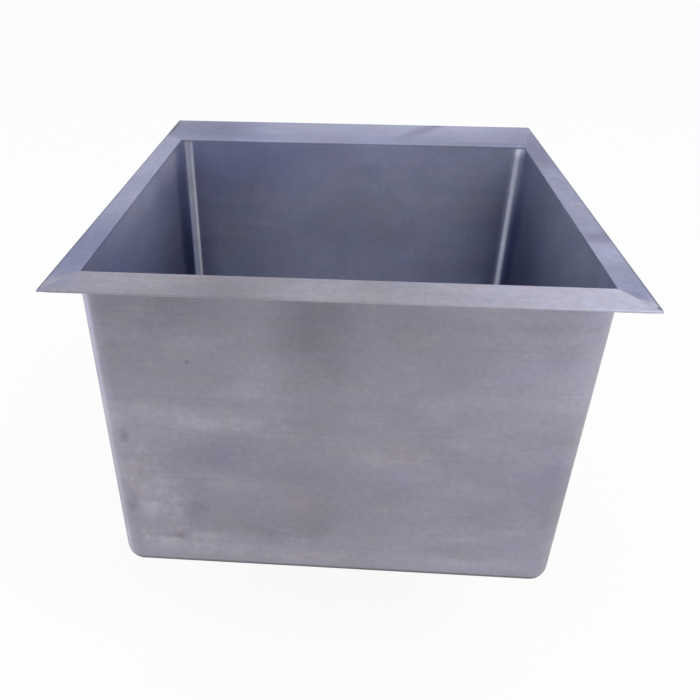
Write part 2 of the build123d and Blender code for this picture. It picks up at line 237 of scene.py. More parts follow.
@effect("brushed_grain", Position=ORIGIN, Pitch=(6.0, 6.0, 900.0), Depth=1.0)
def brushed_grain(tree: Tree, given: Outputs) -> Made:
    """Wires brushed grain, drawn out along the axis with the lowest pitch.

    Args:
        tree: the group's tree.
        given: the group's inputs.

    Returns:
        Grain, for fine lines, and Streak, for broader ones.
    """
    stretched = tree.vector("MULTIPLY", given["Position"], given["Pitch"])
    fine = tree.math("MULTIPLY", tree.noise(stretched, 1.0, detail=2.0), FINE_SHARE)
    broad = tree.noise(stretched, 0.11)
    grain = tree.math("ADD", fine, tree.math("MULTIPLY", broad, 1.0 - FINE_SHARE))
    made = {"Grain": tree.ease(grain, 0.32, 0.68), "Streak": tree.ease(broad, 0.35, 0.65)}
    for key, value in made.items():
        swing = tree.math("MULTIPLY", tree.math("SUBTRACT", value, 0.5), given["Depth"])
        made[key] = tree.math("ADD", swing, 0.5)
    return made


@effect("smudges", Position=ORIGIN, Pitch=(8.0, 8.0, 8.0))
def smudges(tree: Tree, given: Outputs) -> Made:
    """Wires the soft, uneven clouds left by grinding, handling and heat.

    Args:
        tree: the group's tree.
        given: the group's inputs.

    Returns:
        Smudge.
    """
    place = tree.vector("MULTIPLY", given["Position"], given["Pitch"])
    wander = tree.add("TexNoise", {"Vector": place, "Scale": 0.6, "Detail": 2.0}).outputs["Color"]
    cloud = tree.noise(tree.vector("ADD", place, wander), 1.0, detail=4.0, roughness=0.6)
    return {"Smudge": tree.ease(cloud, 0.36, 0.66)}


@effect("soft_patch", Position=ORIGIN, Centre=ORIGIN, Reach=WHITE, Axis=(0.0, 0.0, 1.0), Turn=0.0)
def soft_patch(tree: Tree, given: Outputs) -> Made:
    """Wires one soft-edged elliptical patch, turned about an axis.

    Args:
        tree: the group's tree.
        given: the group's inputs.

    Returns:
        Patch.
    """
    away = tree.vector("SUBTRACT", given["Position"], given["Centre"])
    turned = tree.add("VectorRotate", {"Vector": away, "Axis": given["Axis"], "Angle": given["Turn"]})
    scaled = tree.vector("DIVIDE", turned.outputs[0], given["Reach"])
    return {"Patch": tree.ease(tree.vector("LENGTH", scaled), 1.0, 0.0)}


@effect("patch_blotches", Position=ORIGIN, Centre=ORIGIN, Share=0.0, Pitch=40.0)
def patch_blotches(tree: Tree, given: Outputs) -> Made:
    """Wires the blotches that break up a patch.

    Args:
        tree: the group's tree.
        given: the group's inputs, where Share is how much the blotches leave out.

    Returns:
        Left, what they leave of the patch.
    """
    away = tree.vector("SUBTRACT", given["Position"], given["Centre"])
    tone_and_light = tree.ease(tree.noise(away, given["Pitch"], detail=4.0, roughness=0.62), 0.44, 0.60)
    spared = tree.math("MULTIPLY", given["Share"], tree.math("SUBTRACT", 1.0, tone_and_light))
    return {"Left": tree.math("SUBTRACT", 1.0, spared)}


@effect("bend_band", Direction=(1.0, 0.0, 0.0), Reach=0.3, Softness=0.7, Off=0.0)
def bend_band(tree: Tree, given: Outputs) -> Made:
    """Wires a band along a bend, where the surface faces a given way, for painted light and shade.

    Args:
        tree: the group's tree.
        given: the group's inputs, where a Softness of 1 fades from the middle and 0 at the edge.

    Returns:
        Band.
    """
    facing = tree.vector("DOT_PRODUCT", tree.normal(), given["Direction"])
    aside = tree.math("ABSOLUTE", tree.math("SUBTRACT", tree.math("ARCCOSINE", facing), given["Off"]))
    share = tree.math("DIVIDE", aside, given["Reach"])
    beyond = tree.math("SUBTRACT", share, tree.math("SUBTRACT", 1.0, given["Softness"]))
    return {"Band": tree.ease(tree.math("DIVIDE", beyond, given["Softness"]), 1.0, 0.0)}


@effect("border_line", Position=ORIGIN, Size=WHITE, Width=MM)
def border_line(tree: Tree, given: Outputs) -> Made:
    """Wires a line just inside the edge of a rectangle that is centred on the origin, which the rim strips
    use for painted shade.

    Args:
        tree: the group's tree.
        given: the group's inputs, where Size is half the rectangle.

    Returns:
        Border.
    """
    room = tree.vector("SUBTRACT", given["Size"], tree.vector("ABSOLUTE", given["Position"]))
    nearest = tree.math("MINIMUM", tree.along(room, 0), tree.along(room, 1))
    return {"Border": tree.ease(tree.math("DIVIDE", nearest, given["Width"]), 1.0, 0.2)}


@effect("fine_wear", Position=ORIGIN, Pitch=(900.0, 900.0, 900.0))
def fine_wear(tree: Tree, given: Outputs) -> Made:
    """Wires the fine scratches and specks on small metal and rubber parts.

    Args:
        tree: the group's tree.
        given: the group's inputs.

    Returns:
        Speck, and Blotch for the broader ones.
    """
    place = tree.vector("MULTIPLY", given["Position"], given["Pitch"])
    specks = tree.noise(place, 1.0, detail=4.0, roughness=0.65)
    broad = tree.noise(place, 0.12, detail=2.0)
    return {"Speck": tree.ease(specks, 0.38, 0.62), "Blotch": tree.ease(broad, 0.35, 0.65)}


# Finishes


class Brushing(Enum):
    """The way that a sheet is brushed, as lines per metre along X, Y and Z."""

    LEFT_TO_RIGHT = (5.0, 700.0, 700.0)
    FRONT_TO_BACK = (700.0, 5.0, 700.0)
    ROUND_THE_BOWL = (5.0, 5.0, 700.0)


@dataclass(frozen=True)
class Patch:
    """A soft patch on a sheet, used both for tone and for painted light and shade.

    Attributes:
        centre: its middle.
        reach: how far it goes along each axis.
        gain: what it multiplies the colour by at its middle.
        turn: its turn about the axis, in degrees.
        mottle: how much of it the blotches leave out.
        blotches: how many blotches there are to a metre.
        axis: what it turns about.
        matte: the share of its surface that scatters light instead of mirroring it, which lifts painted
            light.
    """

    centre: Point
    reach: Point
    gain: Gain
    turn: float = 0.0
    mottle: float = 0.0
    blotches: float = 40.0
    axis: Point = (0.0, 0.0, 1.0)
    matte: float = 0.0

    def mask(self, paint: "Paint") -> Output:
        """Adds the patch to a material.

        Args:
            paint: the material's nodes.

        Returns:
            How strongly it shows, 0 to 1.
        """
        place = {"Position": paint.place, "Centre": self.centre}
        turn = {"Axis": self.axis, "Turn": math.radians(self.turn)}
        whole = paint.group(soft_patch(), place | turn | {"Reach": self.reach})["Patch"]
        if not self.mottle:
            return whole
        left = paint.group(patch_blotches(), place | {"Share": self.mottle, "Pitch": self.blotches})["Left"]
        return paint.math("MULTIPLY", whole, left)


@dataclass(frozen=True)
class Band:
    """A band along a bend, for painted light and shade.

    Attributes:
        bearing: the way that its middle faces, in degrees from +X towards +Y.
        half_width: how far to either side it reaches, in degrees of bend.
        gain: what it multiplies the colour by at the rim.
        deep: the same at the bowl's lower half.
        matte: the share of its surface that scatters light instead of mirroring it, which lifts painted
            light.
        softness: the share of its half width over which it fades.
        rise: how far its middle faces up, in degrees.
        off: how far its middle lies off the way given, in degrees, which makes it a ring round that way.
    """

    bearing: float
    half_width: float
    gain: Gain
    deep: Gain
    matte: float = 0.0
    softness: float = 0.75
    rise: float = 0.0
    off: float = 0.0

    def mask(self, paint: "Paint") -> Output:
        """Adds the band to a material.

        Args:
            paint: the material's nodes.

        Returns:
            How strongly it shows, 0 to 1.
        """
        angles = (self.bearing, self.rise, self.half_width, self.off)
        bearing, rise, reach, off = (math.radians(a) for a in angles)
        direction = (math.cos(rise) * math.cos(bearing), math.cos(rise) * math.sin(bearing), math.sin(rise))
        inputs = {"Direction": direction, "Reach": reach, "Softness": self.softness, "Off": off}
        return paint.group(bend_band(), inputs)["Band"]


class Paint(Tree):
    """The nodes of one material, with its shader and the point's place on its own piece, in any pose."""

    def __init__(self, material: bpy.types.Material) -> None:
        """Takes the material and finds its shader."""
        super().__init__(material.node_tree)
        self.shader = next(n for n in material.node_tree.nodes if n.type == "BSDF_PRINCIPLED")
        self.place = self.add("TexCoord").outputs["Object"]

    def smudged(self, pitch: Point, shift: Point | None = None) -> Output:
        """Adds the smudges at a pitch, moved aside so that no two are alike."""
        place = self.vector("ADD", self.place, shift) if shift else self.place
        return self.group(smudges(), {"Position": place, "Pitch": pitch})["Smudge"]

    def dulled(self, metal: Feed, mask: Output, matte: float) -> Feed:
        """Takes the matte share, if there is one, off the metallic share where the mask is 1."""
        loss = self.math("MULTIPLY", mask, matte) if matte else 0.0
        return self.math("SUBTRACT", metal, loss, clamp=True) if matte else metal


@dataclass(frozen=True)
class Surface:
    """What every finish has: a name, the record's slot, a colour, a roughness and a metallic share."""

    name: str
    slot: str
    colour: Colour
    roughness: float
    metallic: float = 1.0

    def material(self) -> bpy.types.Material:
        """Builds the finish.

        Returns:
            The material.
        """
        material = bpy.data.materials.new(self.name)
        material.use_nodes = True
        material.diffuse_color = (*self.colour, 1.0)
        paint = Paint(material)
        paint.feed(paint.shader, {"Metallic": self.metallic, "Roughness": self.roughness})
        paint.feed(paint.shader, self.looks(paint))
        return material

    def looks(self, paint: Paint) -> Made:
        """Returns what goes into the shader. Each kind of surface has its own."""
        raise NotImplementedError

    def shade(self, amount: float) -> Colour:
        """Returns the colour made lighter, or darker if the amount is below 0."""
        return tuple(min(1.0, c * (1.0 + amount)) for c in self.colour)


@dataclass(frozen=True)
class BrushedSheet(Surface):
    """Stainless sheet with brushed grain, soft warm and cool smudges, small specks and placed patches of tone
    and of painted light and shade.
    """

    brushing: Brushing = Brushing.ROUND_THE_BOWL
    grain: float = 0.05
    streak: float = 0.02
    speckle: float = 0.035
    speckle_pitch: float = 170.0
    smudge: float = 0.07
    smudge_pitch: Point = (9.0, 9.0, 16.0)
    warm: Colour = (1.02, 1.0, 0.98)
    cool: Colour = (0.98, 1.0, 1.02)
    bump: float = 0.02
    uneven: float = 0.08
    anisotropy: float = 0.0
    patches: tuple[Patch, ...] = ()

    def looks(self, paint: Paint) -> Made:
        """Wires the finish.

        Args:
            paint: the material's nodes.

        Returns:
            What goes into the shader.
        """
        inputs = {"Position": paint.place, "Pitch": self.brushing.value, "Depth": self.depth(paint)}
        grain = paint.group(brushed_grain(), inputs)
        tone = paint.sway(paint.smudged(self.smudge_pitch), self.smudge)
        small = tuple(HUE_FINENESS * p for p in self.smudge_pitch)
        hue = paint.mix(paint.smudged(small, HUE_SHIFT), self.cool, self.warm)
        specks = paint.ease(paint.noise(paint.place, self.speckle_pitch), 0.34, 0.66)
        lines = paint.sway(grain["Grain"], self.grain)
        streaks = paint.sway(grain["Streak"], self.streak)
        colour = self.base(paint)
        for layer in (tone, hue, lines, streaks, paint.sway(specks, self.speckle)):
            colour = paint.multiply(1.0, colour, layer)
        for patch in self.patches:
            colour = paint.multiply(patch.mask(paint), colour, patch.gain)
        colour, metal = self.finished(paint, colour)
        low, high = self.roughness * (1.0 - self.uneven), self.roughness * (1.0 + self.uneven)
        return {
            "Base Color": colour,
            "Metallic": metal,
            "Roughness": paint.ease(grain["Streak"], 0.0, 1.0, low, high),
            "Normal": paint.bump(self.bump, 0.1 * MM, grain["Grain"]),
            "Anisotropic": self.anisotropy,
            "Anisotropic Rotation": 0.25,
        }

    def base(self, paint: Paint) -> Feed:
        """Returns the sheet's plain colour."""
        return self.colour

    def depth(self, paint: Paint) -> Output:
        """Returns how strongly the grain shows, which drifts over the sheet."""
        return paint.ease(paint.smudged(self.smudge_pitch, DEPTH_SHIFT), 0.0, 1.0, 0.4, 1.4)

    def finished(self, paint: Paint, colour: Feed) -> tuple[Feed, Feed]:
        """Returns the colour and the metallic share, with what a kind of sheet adds last."""
        return colour, 1.0


@dataclass(frozen=True)
class StripSheet(BrushedSheet):
    """A rim strip's sheet, with ground, partly matte edges painted lighter as painted light against the shade
    on them, and a painted shade line along the rim's outer edge.
    """

    roughness: float = 0.38
    grain: float = 0.055
    streak: float = 0.03
    speckle: float = 0.05
    # Painted light: the upright cut edges made lighter against the shade that falls on them.
    edge: Gain = (1.30, 1.28, 1.18)
    edge_matte: float = 0.5
    half_size: Point = (RIM_CORNER.x, RIM_CORNER.y, 1.0)
    # Painted shade: a darker line just inside the rim's outer edge.
    outer_edge_shade: Gain = (0.5, 0.5, 0.55)
    border_width: float = 1.4 * MM

    def finished(self, paint: Paint, colour: Feed) -> tuple[Feed, Feed]:
        """Adds the painted light on the cut edges and the painted shade line along the outer edge.

        Args:
            paint: the material's nodes.
            colour: the colour so far.

        Returns:
            The colour and the metallic share.
        """
        upright = paint.ease(paint.math("ABSOLUTE", paint.along(paint.normal(), 2)), 0.97, 0.4)
        inputs = {"Position": paint.place, "Size": self.half_size, "Width": self.border_width}
        line = paint.group(border_line(), inputs)["Border"]
        # Painted light on the upright edges, then painted shade just inside the outer edge.
        colour = paint.multiply(line, paint.multiply(upright, colour, self.edge), self.outer_edge_shade)
        return colour, paint.dulled(1.0, upright, self.edge_matte)


@dataclass(frozen=True)
class BowlSheet(BrushedSheet):
    """The bowl's sheet, whose inside is given a lighter colour than its outside as painted light, with
    painted highlight and shade bands along its coves.
    """

    centre: Point = ORIGIN
    # The outside's colour. The inside's lighter colour for the same steel is painted light.
    outside: Colour = (0.30, 0.29, 0.35)
    inside_depth: float = 0.22
    outside_depth: float = 0.65
    # Painted light and shade inside the bowl and on the outside's bends.
    inside_light_and_shade_patches: tuple[Patch, ...] = ()
    cove_light_and_shade_bands: tuple[Band, ...] = ()
    outside_light_and_shade_bands: tuple[Band, ...] = ()
    band_levels: Section = (-0.02, -0.16)

    def out(self, paint: Paint) -> Output:
        """Returns 1 on the outside of the bowl and 0 inside it."""
        away = paint.vector("SUBTRACT", paint.place, self.centre)
        return paint.math("GREATER_THAN", paint.vector("DOT_PRODUCT", paint.normal("True Normal"), away))

    def base(self, paint: Paint) -> Output:
        """Returns the inside's colour or the outside's."""
        return paint.mix(self.out(paint), self.colour, self.outside)

    def depth(self, paint: Paint) -> Output:
        """Returns how strongly the grain shows, which is faintest inside."""
        share = paint.ease(self.out(paint), 0.0, 1.0, self.inside_depth, self.outside_depth)
        return paint.math("MULTIPLY", super().depth(paint), share)

    def finished(self, paint: Paint, colour: Feed) -> tuple[Feed, Feed]:
        """Adds the inside's painted light and shade patches and the painted highlight and shade bands along
        the coves.

        Args:
            paint: the material's nodes.
            colour: the colour so far.

        Returns:
            The colour and the metallic share.
        """
        out = self.out(paint)
        inside = paint.math("SUBTRACT", 1.0, out)
        down = paint.ease(paint.along(paint.place, 2), *self.band_levels)
        metal: Feed = 1.0
        sides = ((self.inside_light_and_shade_patches + self.cove_light_and_shade_bands, inside), (self.outside_light_and_shade_bands, out))
        # Each is painted light or shade.
        for light_or_shade, side in ((light_or_shade, side) for lights_and_shades, side in sides for light_or_shade in lights_and_shades):
            mask = paint.math("MULTIPLY", light_or_shade.mask(paint), side)
            gain = paint.mix(down, light_or_shade.gain, light_or_shade.deep) if isinstance(light_or_shade, Band) else light_or_shade.gain
            colour = paint.multiply(mask, colour, gain)
            metal = paint.dulled(metal, mask, light_or_shade.matte)
        return colour, metal


@dataclass(frozen=True)
class WornPart(Surface):
    """A small part with fine specks, a slightly uneven gloss and a fine bump.

    Attributes:
        speck: how much lighter and darker the specks are.
        pitch: how many specks there are to a metre.
        bump: the bump's strength.
        bump_height: the bump's height.
        dulling: how much rougher it is away from the blotches.
        axis: where the upright axis of a spun part stands.
    """

    speck: float = 0.06
    pitch: Point = (900.0, 900.0, 900.0)
    bump: float = 0.04
    bump_height: float = 0.1 * MM
    dulling: float = 0.25
    axis: Section | None = None

    def looks(self, paint: Paint) -> Made:
        """Wires the finish.

        Args:
            paint: the material's nodes.

        Returns:
            What goes into the shader.
        """
        wear = paint.group(fine_wear(), {"Position": self.place(paint), "Pitch": self.pitch})
        ends = (self.roughness * (1.0 + self.dulling), self.roughness * (1.0 - self.dulling))
        return {
            "Base Color": self.toned(paint, wear),
            "Roughness": paint.ease(wear["Blotch"], 0.0, 1.0, *ends),
            "Normal": paint.bump(self.bump, self.bump_height, wear["Speck"]),
        }

    def place(self, paint: Paint) -> Output:
        """Finds where the specks lie, in rings on a spun part.

        Args:
            paint: the material's nodes.

        Returns:
            The point's place, or for a spun part its distance from the axis and its level.
        """
        if self.axis is None:
            return paint.place
        away = paint.vector("SUBTRACT", paint.place, (*self.axis, 0.0))
        distance = paint.vector("LENGTH", paint.vector("MULTIPLY", away, (1.0, 1.0, 0.0)))
        return paint.add("CombineXYZ", {0: distance, 2: paint.along(paint.place, 2)}).outputs[0]

    def specked(self, paint: Paint, wear: Outputs) -> Output:
        """Returns the colour with its specks."""
        return paint.mix(wear["Speck"], self.shade(-self.speck), self.shade(self.speck))


@dataclass(frozen=True)
class PlainMetal(WornPart):
    """Plated, cast or polished metal, tarnished in blotches."""

    tarnish: Colour | None = None

    def toned(self, paint: Paint, wear: Outputs) -> Output:
        """Returns the colour with its blotches and specks."""
        blotched = paint.mix(wear["Blotch"], self.tarnish or self.shade(-3.0 * self.speck), self.colour)
        return paint.mix(0.5, blotched, self.specked(paint, wear))


@dataclass(frozen=True)
class SoftPart(WornPart):
    """Rubber, foam, plastic or pressed fibre."""

    metallic: float = 0.0
    speck: float = 0.15
    pitch: Point = (1400.0, 1400.0, 1400.0)
    bump: float = 0.25
    bump_height: float = 0.2 * MM
    dulling: float = -0.1

    def toned(self, paint: Paint, wear: Outputs) -> Output:
        """Returns the colour with its blotches and specks."""
        return paint.mix(wear["Blotch"], self.shade(-0.5 * self.speck), self.specked(paint, wear))


# Meshes


def make_piece(name: str, vertices: list[Point], faces: list[tuple[int, ...]], smooth: bool = True) -> Piece:
    """Makes a mesh object and puts it in the scene.

    Args:
        name: the piece's name.
        vertices: its corners, in the row frame.
        faces: the corners of each face.
        smooth: whether the faces are shaded as one curved surface.

    Returns:
        The object.
    """
    mesh = bpy.data.meshes.new(name)
    mesh.from_pydata(vertices, [], faces)
    mesh.validate()
    mesh.polygons.foreach_set("use_smooth", [smooth] * len(mesh.polygons))
    piece = bpy.data.objects.new(name, mesh)
    bpy.context.scene.collection.objects.link(piece)
    return piece


def ring_faces(rings: int, sides: int, start: int = 0) -> list[tuple[int, ...]]:
    """Joins rings of points, end to end.

    Args:
        rings: how many rings there are.
        sides: how many points each has.
        start: the first point.

    Returns:
        The faces.
    """
    faces = []
    for i in range(rings):
        here, there = start + i * sides, start + (i + 1) % rings * sides
        for j in range(sides):
            k = (j + 1) % sides
            faces.append((here + j, here + k, there + k, there + j))
    return faces


def outward(degrees: float) -> Vector:
    """Returns the level direction at an angle from +X towards +Y."""
    return Vector((math.cos(math.radians(degrees)), math.sin(math.radians(degrees)), 0.0))


# Sub-assemblies


@dataclass
class Part:
    """A sub-assembly: dresses its nodes, adds its own meshes and remembers them."""

    made: list[str] = field(default_factory=list)

    def dress(self, finish: Surface, *nodes: str) -> None:
        """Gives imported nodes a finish.

        Args:
            finish: the finish.
            nodes: the nodes' names.
        """
        material = finish.material()
        for node in nodes:
            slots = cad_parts[node].data.materials
            slots.clear()
            slots.append(material)
            self.made.append(node)
            log.info("dressed %s in %s", node, finish.name)

    def settle(self, piece: Piece, finish: Surface, *replaced: str) -> None:
        """Gives a new mesh its finish and lets it ride on the sink.

        Args:
            piece: the mesh.
            finish: its finish.
            replaced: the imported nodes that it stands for.
        """
        piece.data.materials.append(finish.material())
        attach(piece, SINK)
        if replaced:
            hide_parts(*replaced)
        self.made.append(piece.name)
        log.info("made %s, %d faces", piece.name, len(piece.data.polygons))

    def build(self) -> None:
        """Builds and dresses the sub-assembly. Each kind has its own."""
        raise NotImplementedError


def rim_patch(x: float, y: float, wide: float, deep: float, gain: Gain, *more: float) -> Patch:
    """Returns a patch on the rim, in millimetres. What a Patch takes after its gain may follow."""
    return Patch((x * MM, y * MM, 0.0), (wide * MM, deep * MM, RIM_THROUGH), gain, *more)


@dataclass
class Rim(Part):
    """The four flat strips round the bowl, with their ground seams and the seal below."""

    seam_width: float = 0.6 * MM
    seam_height: float = 0.02 * MM
    seam_ends: Section = (1.2 * MM, 0.3 * MM)
    seam_colour: Colour = (0.32, 0.33, 0.43)
    # Painted shade along the side strips' outer edges.
    side_edge_shade: Colour = (0.42, 0.42, 0.46)
    side_edge_shade_width: float = 2.2 * MM
    # The strips are one steel. Their colours differ as painted reflection, for how each strip's grain catches
    # the light.
    front_colour: Colour = (0.290, 0.281, 0.340)
    side_colour: Colour = (0.290, 0.303, 0.446)
    rear_colour: Colour = (0.290, 0.305, 0.465)
    # Tone and painted light and shade on each strip: lighter and darker zones, partly where the strip mirrors
    # its surroundings.
    front_tone_and_light: tuple[Patch, ...] = (
        # Painted highlight: the right half of the front strip made lighter.
        rim_patch(240, -250, 240, 200, (1.66, 1.69, 1.78)),
        rim_patch(-100, -250, 50, 40, 0.85),
        rim_patch(-250, -245, 45, 30, (0.84, 0.88, 1.10)),
        rim_patch(-20, -250, 50, 40, (1.08, 1.08, 1.10)),
        rim_patch(-238.8, -250, 24, 9, (0.92, 0.95, 1.06), -60.6),
        rim_patch(240.5, -253, 20, 5, (0.90, 0.90, 0.92), 60.6),
    )
    # Tone and painted light and shade on the left strip.
    left_tone_and_light: tuple[Patch, ...] = (
        rim_patch(-240, -175, 100, 120, (0.70, 0.72, 0.83)),
        rim_patch(-228, -250, 30, 25, (1.06, 1.04, 0.98)),
        rim_patch(-238.8, -250, 26, 12, (1.16, 1.08, 0.88), -60.6),
        rim_patch(-246.5, -263.5, 4, 4, (0.55, 0.55, 0.58)),
        rim_patch(-240, 145, 7, 4, (0.72, 0.73, 0.78), 50.0),
        rim_patch(-236, 120, 30, 30, (0.94, 0.94, 0.98), 0.0, 0.7, 90.0),
        rim_patch(-238, 205, 30, 35, (0.78, 0.78, 0.82)),
    )
    # Tone and painted light and shade on the right strip.
    right_tone_and_light: tuple[Patch, ...] = (
        rim_patch(240, 165, 100, 180, (0.54, 0.55, 0.645)),
        rim_patch(234, -160, 30, 35, (1.18, 1.16, 1.14), 20.0),
        rim_patch(240, -120, 30, 22, (0.78, 0.76, 0.80), 20.0),
        rim_patch(236, -225, 30, 30, (0.90, 0.90, 0.94), 30.0),
        rim_patch(237, -240, 17, 6, (0.76, 0.75, 0.78), 60.6),
        rim_patch(242, -253, 20, 9, (1.50, 1.40, 1.20), 60.6),
        rim_patch(245.5, -260, 4, 3, (0.30, 0.30, 0.33)),
        # Painted highlight at the inner rear-right corner of the opening.
        rim_patch(220.5, 169, 6, 5, (1.5, 1.5, 1.4)),
        rim_patch(237, 66, 14, 30, (1.12, 1.13, 1.12), 0.0, 0.6, 70.0),
        rim_patch(238, 20, 14, 30, (0.90, 0.90, 0.93), 0.0, 0.6, 70.0),
        rim_patch(238, -60, 14, 50, (1.08, 1.07, 1.05), 0.0, 0.6, 60.0),
        rim_patch(242, 245, 30, 22, (1.20, 1.18, 1.12)),
    )
    # Tone and painted light and shade on the rear strip.
    rear_tone_and_light: tuple[Patch, ...] = (
        rim_patch(95, 235, 19, 85, (0.62, 0.64, 0.72), 38.0),
        rim_patch(118, 262, 16, 8, (0.60, 0.62, 0.68)),
        rim_patch(-230, 220, 170, 120, (0.57, 0.61, 0.69)),
        rim_patch(-165, 225, 75, 100, (0.72, 0.74, 0.80)),
        rim_patch(70, 178, 280, 60, (0.76, 0.78, 0.84)),
        rim_patch(235, 215, 75, 70, (0.80, 0.77, 0.86)),
        rim_patch(160, 255, 50, 25, (1.10, 1.09, 1.10)),
        rim_patch(-60, 245, 60, 30, (1.10, 1.08, 1.02)),
        rim_patch(-120, 235, 50, 10, (1.14, 1.12, 1.05), -24.0),
        # Painted shade: a dark line along the rear strip's outer left end.
        rim_patch(-247.6, 225, 8, 58, (0.14, 0.14, 0.17)),
        rim_patch(-200, 245, 120, 60, (0.80, 0.77, 0.86)),
        rim_patch(-140, 190, 130, 30, (0.82, 0.82, 0.90)),
        rim_patch(-115, 225, 50, 12, (1.10, 1.09, 1.04), 24.0, 0.4, 60.0),
        rim_patch(200, 177, 120, 22, (0.74, 0.74, 0.80)),
        # Painted highlight at the inner rear-right corner of the opening.
        rim_patch(217.5, 172.5, 8, 4, (1.6, 1.6, 1.45)),
    )

    def build(self) -> None:
        """Dresses the strips and the seal and adds the seams."""
        across, along = {"brushing": Brushing.LEFT_TO_RIGHT}, {"brushing": Brushing.FRONT_TO_BACK}
        # Painted light on each strip's upright edges and painted shade along its outer edge.
        front = across | {"edge": (1.06, 1.05, 1.0), "edge_matte": 0.0, "outer_edge_shade": 0.96}
        rear = across | {"edge": (1.30, 1.27, 1.15), "outer_edge_shade": (0.70, 0.71, 0.75)}
        side = along | {"outer_edge_shade": self.side_edge_shade, "border_width": self.side_edge_shade_width}
        left = side | {"smudge_pitch": (16.0, 16.0, 16.0)}
        right = side | {"smudge_pitch": (22.0, 22.0, 22.0), "smudge": 0.09}
        self.strip("front", self.front_colour, self.front_tone_and_light, **front)
        self.strip("left", self.side_colour, self.left_tone_and_light, **left)
        self.strip("right", self.side_colour, self.right_tone_and_light, **right)
        self.strip("rear", self.rear_colour, self.rear_tone_and_light, **rear)
        self.dress(SoftPart("seal_foam", "seal_foam", (0.45, 0.46, 0.47), 0.8), "rim_seal")
        self.add_seams()

    def strip(self, side: str, colour: Colour, tone_and_light: tuple[Patch, ...], **values: object) -> None:
        """Dresses the strip on one side, with its tone and painted light and shade."""
        sheet = StripSheet(f"rim_{side}_steel", "bowl_steel", colour, patches=tone_and_light, **values)
        self.dress(sheet, f"rim_{side}")

    def add_seams(self) -> None:
        """Adds the ground weld line at each joint between two strips."""
        low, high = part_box("rim_front")
        rear_low, rear_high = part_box("rim_rear")
        inner_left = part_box("rim_left")[1]
        inner_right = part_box("rim_right")[0].x
        top = high.z + self.seam_height
        seams = {
            "seam_front_left": ((low.x, low.y), (inner_left.x, high.y)),
            "seam_front_right": ((high.x, low.y), (inner_right, high.y)),
            "seam_rear_right": ((rear_high.x, rear_high.y), (inner_right, rear_low.y)),
            "seam_rear_left": ((rear_low.x, inner_left.y), (inner_left.x, rear_low.y)),
        }
        across = Brushing.LEFT_TO_RIGHT
        finish = BrushedSheet("ground_seam", "bowl_steel", self.seam_colour, 0.36, brushing=across)
        for name, (start, end) in seams.items():
            self.settle(self.seam(name, start, end, top), finish)

    def seam(self, name: str, start: Section, end: Section, top: float) -> Piece:
        """Makes one low, flat-topped bead on the rim.

        Args:
            name: the piece's name.
            start: where it starts, at the rim's outer edge.
            end: where it ends.
            top: the level of its top.

        Returns:
            The bead.
        """
        a, b = Vector((*start, top)), Vector((*end, top))
        along = (b - a).normalized()
        aside = Vector((-along.y, along.x, 0.0)) * (self.seam_width / 2)
        down = Vector((0.0, 0.0, -10 * self.seam_height))
        corners = []
        for point in (a + along * self.seam_ends[0], b - along * self.seam_ends[1]):
            corners += [point - aside + down, point - aside / 2, point + aside / 2, point + aside + down]
        faces = [(0, 1, 5, 4), (1, 2, 6, 5), (2, 3, 7, 6), (3, 0, 4, 7), (3, 2, 1, 0), (4, 5, 6, 7)]
        return make_piece(name, [tuple(c) for c in corners], faces, smooth=False)


def on_front(x: float, z: float, wide: float, high: float, gain: Gain, *more: float) -> Patch:
    """Returns a patch on the front wall, in millimetres, turned clockwise as seen from the front."""
    centre, reach = (x * MM, BOWL_LOW.y, z * MM), (wide * MM, WALL_THROUGH, high * MM)
    return Patch(centre, reach, gain, *more, axis=(0.0, -1.0, 0.0))


def on_rear(x: float, z: float, wide: float, high: float, gain: Gain) -> Patch:
    """Returns a patch on the rear wall, in millimetres."""
    return Patch((x * MM, BOWL_HIGH.y, z * MM), (wide * MM, REAR_THROUGH, high * MM), gain)


def on_side(wall: float, y: float, z: float, deep: float, high: float, gain: Gain, **more: float) -> Patch:
    """Returns a patch on the left or right wall, in millimetres but for the wall's own place."""
    return Patch((wall, y * MM, z * MM), (WALL_THROUGH, deep * MM, high * MM), gain, **more)


